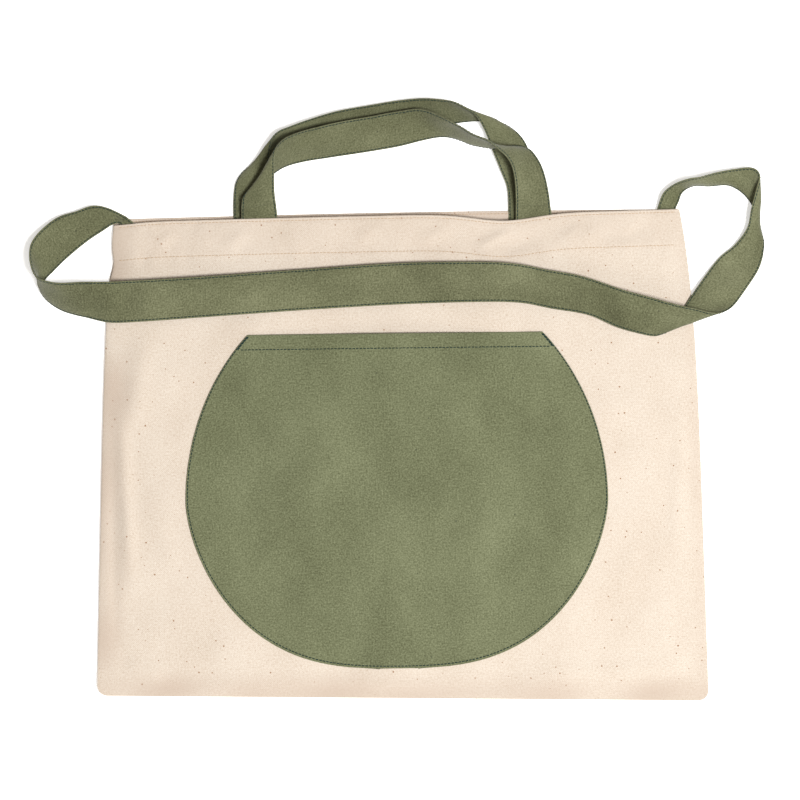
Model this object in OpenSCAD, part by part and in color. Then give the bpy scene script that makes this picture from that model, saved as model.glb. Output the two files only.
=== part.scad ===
// Fruit picking bag: a flat canvas tote with a round front pocket, two short
// carrying handles and a long shoulder strap, lying on its back.
// Millimetres. The origin is the centre of the back panel's underside, +X is to
// the right, +Y points from the bottom seam to the mouth, +Z is up.

/* [Bag body] */
// Width along the bottom seam
bottom_w = 512; // [460:1:560]
// Width across the mouth
mouth_w = 473; // [420:1:540]
// Height from the bottom seam to the mouth
body_h = 402; // [340:1:460]
// Thickness of the canvas
canvas_t = 1.0; // [0.6:0.1:1.4]
// How far the front panel stands off the back panel in the middle
puff = 10; // [8:0.5:16]
// Depth of the mouth hem
hem_depth = 30; // [20:1:40]

/* [Pocket] */
// Widest part of the round pocket
pocket_w = 352; // [260:1:370]
// Depth of the pocket below its widest line
pocket_drop = 140; // [100:1:150]
// Height of the flat pocket mouth above its widest line
pocket_rise = 139; // [110:1:145]
// How far the pocket bulges off the front panel
pocket_puff = 7.5; // [6:0.5:10]
// Depth of the pocket's hem
pocket_hem = 12.5; // [8:0.5:20]

/* [Straps] */
// Thickness of the folded and sewn straps
strap_t = 1.2; // [0.8:0.1:2]
// Distance from a strap's edge to its row of stitches
edge_stitch = 2.5; // [1.5:0.1:4]
// Thickness of the sewing thread
thread_d = 0.6; // [0.4:0.1:0.8]

/* [Hidden] */

canvas_colour = [0.93, 0.86, 0.78];
green_colour = [0.48, 0.49, 0.36];
thread_colour = [0.13, 0.26, 0.22];
tan_thread_colour = [0.80, 0.68, 0.55];

half_bottom = bottom_w / 2;
narrowing = (bottom_w - mouth_w) / 2;
left_share = 0.72;      // the left edge leans less than the right one
right_share = 1.28;
pinch = 3;              // the left edge is drawn in at the lower hem row
pinch_v = 0.915;
seam_z = 2.9;           // underside of the front panel along its seams
seam_w = 8;             // width of the overlocked seam allowance
gap = 0.05;             // between cloth layers that lie on each other
corner_r = 6;
back_lip = 3;           // how far the back mouth edge shows past the front one
handle_dip = 6;         // the right handle foot draws the front edge down
dip_x = 85;
dip_w = 36;
through = 0.4;          // how far a stitch row stands proud of the cloth

// ---- Outline of the panels. v runs 0 to 1 up the bag, u 0 to 1 across it.

function lean(v) = 0.55 * v + 0.45 * pow(v, 6);
function left_x(v) =
  -half_bottom + left_share * narrowing * lean(v)
  + pinch * exp(-pow((v - pinch_v) / 0.03, 2));
function right_x(v) = half_bottom - right_share * narrowing * lean(v);
function base_x(u) = left_x(1) + (right_x(1) - left_x(1)) * u;
function bottom_y(u) = -body_h / 2 + 2 - 4 * u;
function back_y(u) = body_h / 2 - 1.5 + 8.5 * u + 1.5 * sin(180 * u);
function lip(u) =
  back_lip * (1 - pow(u, 6)) + 2 * exp(-pow(u / 0.05, 2))
  + handle_dip * exp(-pow((base_x(u) - dip_x) / dip_w, 2));
function front_y(u) = back_y(u) - lip(u);

function rise(u, v) =
  pow(max(4 * u * (1 - u), 0), 0.4) * sin(130 * pow(v, 0.7));
function under_z(u, v) = seam_z + puff * rise(u, v);

// A point of the front cloth: lift is its height above the panel's underside.
function front_point(u, v, lift) =
  let (x = left_x(v) + (right_x(v) - left_x(v)) * u,
       y = bottom_y(u) + (front_y(u) - bottom_y(u)) * v)
  [x, y, under_z(u, v) + lift];

// The u and v of a place given in millimetres.
function u_at(x, y) =
  let (v = (y + body_h / 2) / body_h)
  (x - left_x(v)) / (right_x(v) - left_x(v));
function v_at(x, y) =
  let (u = u_at(x, y)) (y - bottom_y(u)) / (front_y(u) - bottom_y(u));
function top_z(x, y) = under_z(u_at(x, y), v_at(x, y)) + canvas_t;

// ---- Shared shapes.

// A closed sheet from a grid of points: upper(i, j) lies above lower(i, j).
module sheet(upper, lower) {
  rows = len(upper);
  cols = len(upper[0]);
  count = rows * cols;
  points = concat([for (r = upper) each r], [for (r = lower) each r]);
  function at(i, j) = i * cols + j;
  top_faces = [
    for (i = [0 : rows - 2], j = [0 : cols - 2]) each [
      [at(i, j), at(i + 1, j), at(i + 1, j + 1)],
      [at(i, j), at(i + 1, j + 1), at(i, j + 1)]
    ]
  ];
  low_faces = [for (f = top_faces) [f[2] + count, f[1] + count, f[0] + count]];
  rim = concat(
    [for (j = [0 : cols - 1]) at(0, j)],
    [for (i = [1 : rows - 1]) at(i, cols - 1)],
    [for (j = [cols - 2 : -1 : 0]) at(rows - 1, j)],
    [for (i = [rows - 2 : -1 : 1]) at(i, 0)]
  );
  side_faces = [
    for (k = [0 : len(rim) - 1])
      let (a = rim[k], b = rim[(k + 1) % len(rim)])
      each [[a, b, b + count], [a, b + count, a + count]]
  ];
  polyhedron(points, concat(top_faces, low_faces, side_faces), convexity = 8);
}

// A bar of four-cornered rings.
module ring_bar(rings) {
  last = len(rings) - 1;
  sides = [
    for (i = [0 : last - 1], k = [0 : 3])
      let (a = 4 * i + k, b = 4 * i + (k + 1) % 4)
      each [[a, b, b + 4], [a, b + 4, a + 4]]
  ];
  ends = [[0, 3, 2], [0, 2, 1], [4 * last, 4 * last + 1, 4 * last + 2],
          [4 * last, 4 * last + 2, 4 * last + 3]];
  polyhedron([for (r = rings) each r], concat(sides, ends), convexity = 8);
}

function unit(a) = a / max(norm(a), 0.0001);

// Smooth curve through four neighbours, used on whole stations at once.
function smooth(a, b, c, d, t) =
  0.5 * (2 * b + (c - a) * t + (2 * a - 5 * b + 4 * c - d) * t * t
         + (3 * b - a - 3 * c + d) * t * t * t);
function station(route, i) =
  route[max(0, min(len(route) - 1, i))];
function fine(route, from, to, steps) = [
  for (i = [from : to - 1], k = [0 : steps - 1])
    smooth(station(route, i - 1), station(route, i), station(route, i + 1),
           station(route, i + 2), k / steps),
  station(route, to)
];
function edge_a(s) = [s[0], s[1], s[2]];
function edge_b(s) = [s[3], s[4], s[5]];
function middle(s) = (edge_a(s) + edge_b(s)) / 2;
function ahead(list, i) =
  unit(middle(list[min(len(list) - 1, i + 1)]) - middle(list[max(0, i - 1)]));
function facing(list, i) =
  unit(cross(ahead(list, i), unit(edge_b(list[i]) - edge_a(list[i]))));

// A band of cloth between its two edges.
module band(list, thick) {
  ring_bar([
    for (i = [0 : len(list) - 1])
      let (n = facing(list, i) * thick / 2, a = edge_a(list[i]), b = edge_b(list[i]))
      [a + n, b + n, b - n, a - n]
  ]);
}

// One row of stitches, inset from edge A or edge B, through the band.
module band_row(list, inset, thick) {
  ring_bar([
    for (i = [0 : len(list) - 1])
      let (n = facing(list, i) * (thick / 2 + through),
           a = edge_a(list[i]),
           w = unit(edge_b(list[i]) - a),
           start = inset > 0 ? a : edge_b(list[i]),
           p = start + w * inset,
           h = w * thread_d / 2)
      [p - h + n, p + h + n, p + h - n, p - h - n]
  ]);
}

module band_rows(list) {
  band_row(list, edge_stitch, strap_t);
  band_row(list, -edge_stitch, strap_t);
}

// A row of stitches through one layer of cloth along points on its underside.
module cloth_row(points) {
  last = len(points) - 1;
  ring_bar([
    for (i = [0 : last])
      let (d = unit(points[min(last, i + 1)] - points[max(0, i - 1)]),
           side = unit(cross([0, 0, 1], d)) * thread_d / 2,
           low = [0, 0, -through / 2],
           high = [0, 0, canvas_t + through])
      [points[i] + side + low, points[i] + side + high,
       points[i] - side + high, points[i] - side + low]
  ]);
}

// ---- Routes of the straps. Each row is one station: the point on edge A, then
// the point on edge B. The rows are chosen by hand along the way a strap lies.

// Front handle, left base to right base: A is the outer edge of the loop.
front_handle_route = [
  [-135, 204, 8, -105, 204, 8],
  [-135, 208, 8.5, -106, 213, 11],
  [-134.5, 212, 9.5, -107, 223, 15],
  [-134, 216, 10.5, -107, 238, 20],
  [-131, 220.5, 11, -106.5, 250, 24],
  [-124, 226, 10, -104, 259, 25],
  [-113, 233, 9.5, -98, 265.5, 24],
  [-100, 242, 7, -88, 270, 22],
  [-84, 247, 4.5, -74, 274.5, 19],
  [-60, 251, 3.5, -54, 279.5, 16],
  [-30, 255.5, 3.5, -28, 284.5, 13],
  [-4, 260, 3.5, -3, 289, 13],
  [16, 265, 3.5, 14, 290.5, 17],
  [32, 268, 3, 30, 285, 24],
  [46, 266.5, 3, 46, 275.5, 29],
  [60, 261, 5, 58, 268, 32],
  [76, 259, 9, 70, 263.5, 34],
  [94, 260, 9, 79, 256, 32],
  [105, 258, 8.5, 86, 249.5, 27],
  [111, 252, 8.5, 90.5, 242, 23],
  [116, 243, 9, 92.5, 234, 19],
  [119.5, 232, 9, 93.5, 225, 16],
  [122, 219, 9, 94, 216, 13],
  [123, 211, 8.5, 94, 210, 10.5],
  [124, 204, 8, 94, 204, 8]
];

// Back handle, left base to right base.
back_handle_route = [
  [-142, 205, 2, -112, 205, 2],
  [-142, 213, 2, -112, 219, 3],
  [-141.5, 222, 2, -112, 234, 5],
  [-140, 230, 2.5, -111.5, 250, 8],
  [-136, 237, 2, -109.5, 264, 10.5],
  [-129, 243, 1.5, -104, 272, 12],
  [-117, 249, 1.5, -94, 276.5, 11.5],
  [-98, 255, 1.2, -78, 282.5, 10],
  [-70, 261, 1.2, -55, 289.5, 8.5],
  [-38, 266, 1.2, -28, 294.5, 7.5],
  [-8, 270, 1.2, -4, 298.5, 7],
  [18, 274, 1.2, 16, 300, 11],
  [40, 279, 1.2, 32, 298.5, 17],
  [60, 281.5, 1.2, 42, 296, 21],
  [78, 281, 1.5, 52, 291, 20],
  [92, 275, 2, 61, 284.5, 15],
  [101, 266, 2, 68, 273, 10.5],
  [106.5, 254, 2, 74, 258, 7.5],
  [111, 240, 2, 81, 241, 5],
  [115, 224, 2, 87, 225, 3.5],
  [118, 205, 2, 88, 205, 2]
];

// Shoulder strap, left corner to right corner, tails inside the bag included:
// A is the edge that lies towards the mouth where the strap crosses the front.
strap_route = [
  [-212, 184, 3.4, -226, 174, 3.2],
  [-222, 194, 4, -231, 186, 3.2],
  [-231, 201.5, 5, -237.5, 196, 3.9],
  [-246, 208.5, 8, -243, 194.5, 5],
  [-259, 210.5, 8, -251, 189.5, 3],
  [-273, 206, 7, -261, 183, 3],
  [-288, 201, 8, -272, 174.5, 3],
  [-301, 191, 11, -284, 164, 3],
  [-309, 180, 16, -293, 155, 2.5],
  [-310.5, 169, 21, -299, 149, 2],
  [-308, 157, 25, -302, 142, 1.5],
  [-303, 149.5, 28, -301, 136, 1.2],
  [-296, 147, 28, -295, 129, 1.2],
  [-284, 145.5, 26, -283, 122, 1.5],
  [-266, 146.5, 22, -264, 117, 4],
  [-245, 146.8, 18, -245, 112.8, 9.5],
  [-218, 148, 18, -218, 113.5, 13],
  [-170, 150.8, 19, -170, 116.8, 15.5],
  [-86, 156.8, 19, -86, 122.8, 17],
  [-2, 162.3, 19, -2, 127.8, 18],
  [64, 163.3, 19, 64, 129.8, 18],
  [95, 161.5, 19, 98, 129, 17.5],
  [120, 156.7, 19, 124, 124.2, 17],
  [150, 151, 19, 154, 119, 16.5],
  [182, 140.3, 20, 178, 108.8, 15.5],
  [208, 133, 22, 197, 103.5, 13.5],
  [228, 127.5, 22, 208, 101.5, 11.5],
  [244, 124, 20, 214, 102.5, 10.8],
  [257, 121, 17, 220, 106, 10.2],
  [267, 121.5, 13, 228, 115, 9.2],
  [276, 127, 9, 237, 130, 8.2],
  [286, 140, 6, 250, 149, 5.5],
  [296, 155, 5, 264, 167, 2.5],
  [300, 165, 5, 277, 178, 4],
  [301.5, 173, 5, 287, 192, 8],
  [302, 180, 4, 290, 207, 12],
  [300, 189, 2.5, 294, 223, 15],
  [297, 200, 1.5, 297, 236, 15],
  [292, 211, 1.5, 291, 242, 13],
  [284, 221, 1.5, 277, 241, 11],
  [272, 227.5, 1.5, 262, 238, 14],
  [256, 227, 2, 249, 234, 18],
  [243, 227, 3, 238, 232.5, 18],
  [234, 222, 4, 226, 228, 13],
  [230.5, 214, 4, 217, 221, 9],
  [228, 208.5, 3.1, 212.5, 209, 5],
  [222, 191, 3.4, 205, 191, 3.6]
];

fine_steps = 3;
front_left_foot_at = 2;
front_right_foot_at = 22;
strap_left_at = 5;
strap_right_at = 34;
strap_loop_at = 35;      // one span is left open at the right fold
end_gap = 1.2;          // left open at the mouth, where a handle's foot hinges
handle_gap = 0.25;      // share of a step left open where a handle folds
strap_gap = 0.8;        // share of a step left open where the long strap flexes

function shorten(list, first, last) =
  let (n = len(list) - 1)
  [for (i = [0 : n])
    i == 0 ? list[0] + (list[1] - list[0]) * first
    : i == n ? list[n] + (list[n - 1] - list[n]) * last : list[i]];
function run(route, from, to, first = 0, last = 0) =
  shorten(fine(route, from, to, fine_steps), first, last);

front_last = len(front_handle_route) - 1;
back_last = len(back_handle_route) - 1;
strap_last = len(strap_route) - 1;
strap_mouth_at = strap_last - 1;

front_handle_list =
  run(front_handle_route, front_left_foot_at, front_right_foot_at, handle_gap, handle_gap);
back_handle_list = run(back_handle_route, 0, back_last);
shoulder_strap_list = run(strap_route, strap_left_at, strap_right_at, strap_gap, 0);

// ---- Sub-parts.

module back_panel() {
  steps = 16;
  outline = concat(
    [for (i = [1 : steps - 1]) [left_x(0) + bottom_w * i / steps, bottom_y(i / steps)]],
    [for (a = [-80 : 20 : -20])
      [right_x(0) - corner_r + corner_r * cos(a), bottom_y(1) + corner_r + corner_r * sin(a)]],
    [for (i = [1 : steps]) [right_x(i / steps), bottom_y(1) + (back_y(1) - bottom_y(1)) * i / steps]],
    [for (i = [steps - 1 : -1 : 1]) [base_x(i / steps), back_y(i / steps)]],
    [for (i = [steps * 2 : -1 : 1])
      [left_x(i / steps / 2), bottom_y(0) + (back_y(0) - bottom_y(0)) * i / steps / 2]],
    [for (a = [200 : 20 : 260])
      [left_x(0) + corner_r + corner_r * cos(a), bottom_y(0) + corner_r + corner_r * sin(a)]]
  );
  color(canvas_colour) linear_extrude(canvas_t) polygon(outline);
}

front_cols = 28;
front_rows = 22;

// Grid lines sit closer together near the seams.
function eased(t) = t - 0.12 * sin(360 * t);

module front_panel() {
  function grid(lift) = [
    for (j = [0 : front_rows]) [
      for (i = [0 : front_cols])
        front_point(eased(i / front_cols), eased(j / front_rows), lift)
    ]
  ];
  color(canvas_colour) sheet_up(grid(canvas_t), grid(0));
}

// sheet() with rows that run across the bag.
module sheet_up(upper, lower) {
  function across(g) = [for (j = [0 : len(g[0]) - 1]) [for (i = [0 : len(g) - 1]) g[i][j]]];
  sheet(across(upper), across(lower));
}

// ---- Pocket outline: t runs 0 at the pocket's lowest point to 1 at its mouth.

pocket_x = -5;
pocket_y = -35;
pocket_turn = 0.7;
pocket_over = 195;      // the upper part follows an ellipse of this half height
pocket_round = 2.8;     // powers that shape the curve below the widest line
pocket_sag = 1.6;
pocket_end = 0.5;       // the grid stops this far above the lowest point

function pocket_half(y) =
  y < 0
  ? pocket_w / 2 * pow(1 - pow(-y / pocket_drop, pocket_sag), 1 / pocket_round)
  : pocket_w / 2 * sqrt(1 - pow(y / pocket_over, 2));
function pocket_row_y(t) = let (full = pocket_drop + pocket_rise - pocket_end)
  -pocket_drop + pocket_end + full * (t + 0.25 * sin(180 * t) * (t - 1));
function turned(x, y) = [
  pocket_x + x * cos(pocket_turn) - y * sin(pocket_turn),
  pocket_y + x * sin(pocket_turn) + y * cos(pocket_turn)
];
// Height of the pocket's underside above the front panel, s from -1 to 1 across.
function pocket_lift(s, t) =
  0.3 + pocket_puff * pow(max(1 - s * s, 0), 0.5) * sin(125 * pow(t, 0.75));
function pocket_point(s, t, lift) =
  let (y = pocket_row_y(t), p = turned(s * pocket_half(y), y))
  [p[0], p[1], top_z(p[0], p[1]) + pocket_lift(s, t) + lift];

module pocket() {
  cols = 20;
  rows = 18;
  function grid(lift) = [
    for (j = [0 : rows]) [
      for (i = [0 : cols])
        pocket_point(-cos(180 * i / cols), j / rows, lift)
    ]
  ];
  color(green_colour) sheet_up(grid(canvas_t), grid(0));
}

// Stitches just inside the pocket's outline, mouth corner to mouth corner.
module pocket_edge_thread() {
  mouth_angle = asin(pocket_rise / pocket_over);
  from = 180 - mouth_angle;
  to = 360 + mouth_angle;
  count = 72;
  points = [
    for (i = [0 : count])
      let (a = from + (to - from) * i / count,
           up = sin(a) > 0,
           c = cos(a),
           x = (pocket_w / 2 - 3.5) * sign(c) * pow(abs(c), up ? 1 : 2 / pocket_round),
           y = up ? pocket_over * sin(a) - 1
             : -(pocket_drop - 3.5) * pow(-sin(a), 2 / pocket_sag),
           s = max(-1, min(1, x / pocket_half(y))),
           p = turned(x, y))
      [p[0], p[1], top_z(p[0], p[1]) + 0.3 + rim_lift(x, y)]
  ];
  color(thread_colour) cloth_row(points);
}

// Lift of the pocket at a place given in the pocket's own axes.
function row_t(y, low = 0, high = 1, n = 18) =
  n == 0 ? (low + high) / 2
  : let (m = (low + high) / 2)
    pocket_row_y(m) < y ? row_t(y, m, high, n - 1) : row_t(y, low, m, n - 1);
function rim_lift(x, y) =
  let (s = max(-1, min(1, x / pocket_half(y))))
  pocket_lift(s, row_t(y)) - 0.3;
function pocket_under(x, y) =
  let (p = turned(x, y))
  [p[0], p[1], top_z(p[0], p[1]) + 0.3 + rim_lift(x, y)];

module pocket_hem_thread() {
  y = pocket_rise - pocket_hem;
  half = pocket_half(y) - 8;
  color(thread_colour)
    cloth_row([for (i = [0 : 30]) pocket_under(-half + 2 * half * i / 30, y)]);
}

// Doubled stitches that hold a corner of the pocket mouth.
module pocket_tack(side) {
  color(thread_colour)
    for (step = [0, 1.2])
      cloth_row([
        for (i = [0 : 6])
          let (y = pocket_rise - 1 - (pocket_hem - 1) * i / 6)
          pocket_under(side * (pocket_half(y) - 5 - step), y)
      ]);
}
module pocket_left_tack() { pocket_tack(-1); }
module pocket_right_tack() { pocket_tack(1); }

// ---- Seam allowances, overlocked together, lying inside between the panels.

module side_seam(side) {
  count = 20;
  color(canvas_colour)
    ring_bar([
      for (i = [0 : count])
        let (v = 0.03 + 0.94 * i / count,
             edge = side < 0 ? left_x(v) + 0.8 : right_x(v) - 0.8,
             y = bottom_y(0.5) + (front_y(side < 0 ? 0 : 1) - bottom_y(0.5)) * v,
             inner = edge - side * seam_w,
             a = min(edge, inner), b = max(edge, inner))
        [[b, y, canvas_t + gap], [b, y, seam_z - gap],
         [a, y, seam_z - gap], [a, y, canvas_t + gap]]
    ]);
}
module left_side_seam() { side_seam(-1); }
module right_side_seam() { side_seam(1); }

module bottom_seam() {
  count = 16;
  inset = seam_w + 3;
  color(canvas_colour)
    ring_bar([
      for (i = [0 : count])
        let (x = left_x(0) + inset + (bottom_w - 2 * inset) * i / count,
             y = bottom_y(i / count) + 0.8)
        [[x, y, canvas_t + gap], [x, y, seam_z - gap],
         [x, y + seam_w, seam_z - gap], [x, y + seam_w, canvas_t + gap]]
    ]);
}

// ---- Hem rows.

row_count = 40;
function row_u(i) = 0.012 + 0.976 * i / row_count;

module front_hem_row(depth) {
  color(tan_thread_colour)
    cloth_row([
      for (i = [0 : row_count])
        let (u = row_u(i), v = 1 - depth / body_h) front_point(u, v, 0)
    ]);
}
module front_hem_upper_thread() { front_hem_row(2.5); }
module front_hem_lower_thread() { front_hem_row(hem_depth); }

module back_hem_row(depth) {
  low = canvas_t - 0.2;
  color(tan_thread_colour)
    ring_bar([
      for (i = [0 : row_count])
        let (u = 0.04 + 0.92 * i / row_count, x = base_x(u), y = back_y(u) - depth,
             h = thread_d / 2)
        [[x, y + h, low], [x, y + h, low + 0.5],
         [x, y - h, low + 0.5], [x, y - h, low]]
    ]);
}
module back_hem_upper_thread() { back_hem_row(2.5); }
module back_hem_lower_thread() { back_hem_row(hem_depth); }

// ---- Strap ends, sewn inside the hems and corners.

module sewn_end(route_row) {
  z = route_row[2];
  out_y = route_row[1] - end_gap;
  in_y = out_y - hem_depth + 4;
  color(green_colour)
    band([
      [route_row[0], in_y, z, route_row[3], in_y, z],
      [route_row[0], out_y, z, route_row[3], out_y, z]
    ], strap_t);
}
module front_handle_left_end() { sewn_end(front_handle_route[0]); }
module front_handle_right_end() { sewn_end(front_handle_route[front_last]); }
module back_handle_left_end() { sewn_end(back_handle_route[0]); }
module back_handle_right_end() { sewn_end(back_handle_route[back_last]); }

module strap_left_end() {
  color(green_colour) band(run(strap_route, 0, strap_left_at, 0, strap_gap), strap_t);
}
module strap_right_loop() {
  color(green_colour)
    band(run(strap_route, strap_loop_at, strap_mouth_at, 0, 0.02), strap_t);
}
module strap_right_end() {
  color(green_colour) band(run(strap_route, strap_mouth_at, strap_last, 0.02, 0), strap_t);
}

// ---- Moving straps.

module front_handle_left_foot() {
  color(green_colour)
    band(run(front_handle_route, 0, front_left_foot_at, 0, handle_gap), strap_t);
}
module front_handle_right_foot() {
  color(green_colour)
    band(run(front_handle_route, front_right_foot_at, front_last, handle_gap, 0), strap_t);
}
module front_handle() { color(green_colour) band(front_handle_list, strap_t); }
module front_handle_thread() { color(thread_colour) band_rows(front_handle_list); }
module back_handle() { color(green_colour) band(back_handle_list, strap_t); }
module back_handle_thread() { color(thread_colour) band_rows(back_handle_list); }
module shoulder_strap() { color(green_colour) band(shoulder_strap_list, strap_t); }
module shoulder_strap_thread() { color(thread_colour) band_rows(shoulder_strap_list); }

back_panel();
front_panel();
pocket();
left_side_seam();
right_side_seam();
bottom_seam();
front_hem_upper_thread();
front_hem_lower_thread();
back_hem_upper_thread();
back_hem_lower_thread();
pocket_edge_thread();
pocket_hem_thread();
pocket_left_tack();
pocket_right_tack();
front_handle_left_end();
front_handle_right_end();
back_handle_left_end();
back_handle_right_end();
strap_left_end();
strap_right_end();
strap_right_loop();
front_handle_left_foot();
front_handle_right_foot();
front_handle();
front_handle_thread();
back_handle();
back_handle_thread();
shoulder_strap();
shoulder_strap_thread();
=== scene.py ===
"""The looks of a canvas fruit picking bag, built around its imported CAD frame.

Metres, in the CAD's frame: the bag lies on its back on z = 0, +X is to the right,
+Y points to the mouth and +Z is up.
"""
import math

import bpy
import numpy as np
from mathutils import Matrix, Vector


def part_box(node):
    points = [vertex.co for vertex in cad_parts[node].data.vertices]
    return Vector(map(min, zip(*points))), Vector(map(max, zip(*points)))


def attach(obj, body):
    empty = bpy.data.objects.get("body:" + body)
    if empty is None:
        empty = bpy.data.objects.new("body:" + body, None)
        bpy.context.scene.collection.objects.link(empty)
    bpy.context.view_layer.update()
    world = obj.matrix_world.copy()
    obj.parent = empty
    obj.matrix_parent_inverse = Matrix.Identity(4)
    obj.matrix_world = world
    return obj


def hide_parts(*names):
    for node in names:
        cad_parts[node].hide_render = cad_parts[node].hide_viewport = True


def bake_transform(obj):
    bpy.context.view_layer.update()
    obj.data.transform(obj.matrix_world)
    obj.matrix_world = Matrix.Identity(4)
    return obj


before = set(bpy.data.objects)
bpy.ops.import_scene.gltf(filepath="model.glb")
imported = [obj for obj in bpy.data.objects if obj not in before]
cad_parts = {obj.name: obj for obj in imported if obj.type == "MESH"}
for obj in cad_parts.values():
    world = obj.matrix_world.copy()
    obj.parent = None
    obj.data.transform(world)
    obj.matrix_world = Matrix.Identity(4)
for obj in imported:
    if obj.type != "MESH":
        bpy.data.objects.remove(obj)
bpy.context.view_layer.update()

MM = 0.001
TINY = 1e-9                  # keeps a divisor above zero


# ---- Camera: straight above the bag, looking down.

VIEW_WIDTH = 0.6667          # what the picture takes in, at the height of the bag's top
VIEW_CENTRE = (-0.0025, 0.0483)
BAG_TOP = 0.012
LENS_MM = 150
SENSOR_MM = 36
FAR_CLIP = 20


def make_camera():
    data = bpy.data.cameras.new("camera")
    data.lens = LENS_MM
    data.sensor_width = SENSOR_MM
    data.clip_end = FAR_CLIP
    camera = bpy.data.objects.new("camera", data)
    camera.location = (*VIEW_CENTRE, BAG_TOP + VIEW_WIDTH * LENS_MM / SENSOR_MM)
    bpy.context.scene.collection.objects.link(camera)
    bpy.context.scene.camera = camera


make_camera()


# ---- Routes of the straps, as in the CAD. Each row is one station: the point on
# edge A, then the point on edge B.

FRONT_HANDLE = [
    (-0.135, 0.204, 0.008, -0.105, 0.204, 0.008),
    (-0.135, 0.208, 0.0085, -0.106, 0.213, 0.011),
    (-0.1345, 0.212, 0.0095, -0.107, 0.223, 0.015),
    (-0.134, 0.216, 0.0105, -0.107, 0.238, 0.020),
    (-0.131, 0.2205, 0.011, -0.1065, 0.250, 0.024),
    (-0.124, 0.226, 0.010, -0.104, 0.259, 0.025),
    (-0.113, 0.233, 0.0095, -0.098, 0.2655, 0.024),
    (-0.100, 0.242, 0.007, -0.088, 0.270, 0.022),
    (-0.084, 0.247, 0.0045, -0.074, 0.2745, 0.019),
    (-0.060, 0.251, 0.0035, -0.054, 0.2795, 0.016),
    (-0.030, 0.2555, 0.0035, -0.028, 0.2845, 0.013),
    (-0.004, 0.260, 0.0035, -0.003, 0.289, 0.013),
    (0.016, 0.265, 0.0035, 0.014, 0.2905, 0.017),
    (0.032, 0.268, 0.003, 0.030, 0.285, 0.024),
    (0.046, 0.2665, 0.003, 0.046, 0.2755, 0.029),
    (0.060, 0.261, 0.005, 0.058, 0.268, 0.032),
    (0.076, 0.259, 0.009, 0.070, 0.2635, 0.034),
    (0.094, 0.260, 0.009, 0.079, 0.256, 0.032),
    (0.105, 0.258, 0.0085, 0.086, 0.2495, 0.027),
    (0.111, 0.252, 0.0085, 0.0905, 0.242, 0.023),
    (0.116, 0.243, 0.009, 0.0925, 0.234, 0.019),
    (0.1195, 0.232, 0.009, 0.0935, 0.225, 0.016),
    (0.122, 0.219, 0.009, 0.094, 0.216, 0.013),
    (0.123, 0.211, 0.0085, 0.094, 0.210, 0.0105),
    (0.124, 0.204, 0.008, 0.094, 0.204, 0.008),
]

BACK_HANDLE = [
    (-0.142, 0.205, 0.002, -0.112, 0.205, 0.002),
    (-0.142, 0.213, 0.002, -0.112, 0.219, 0.003),
    (-0.1415, 0.222, 0.002, -0.112, 0.234, 0.005),
    (-0.140, 0.230, 0.0025, -0.1115, 0.250, 0.008),
    (-0.136, 0.237, 0.002, -0.1095, 0.264, 0.0105),
    (-0.129, 0.243, 0.0015, -0.104, 0.272, 0.012),
    (-0.117, 0.249, 0.0015, -0.094, 0.2765, 0.0115),
    (-0.098, 0.255, 0.0012, -0.078, 0.2825, 0.010),
    (-0.070, 0.261, 0.0012, -0.055, 0.2895, 0.0085),
    (-0.038, 0.266, 0.0012, -0.028, 0.2945, 0.0075),
    (-0.008, 0.270, 0.0012, -0.004, 0.2985, 0.007),
    (0.018, 0.274, 0.0012, 0.016, 0.300, 0.011),
    (0.040, 0.279, 0.0012, 0.032, 0.2985, 0.017),
    (0.060, 0.2815, 0.0012, 0.042, 0.296, 0.021),
    (0.078, 0.281, 0.0015, 0.052, 0.291, 0.020),
    (0.092, 0.275, 0.002, 0.061, 0.2845, 0.015),
    (0.101, 0.266, 0.002, 0.068, 0.273, 0.0105),
    (0.1065, 0.254, 0.002, 0.074, 0.258, 0.0075),
    (0.111, 0.240, 0.002, 0.081, 0.241, 0.005),
    (0.115, 0.224, 0.002, 0.087, 0.225, 0.0035),
    (0.118, 0.205, 0.002, 0.088, 0.205, 0.002),
]

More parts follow.
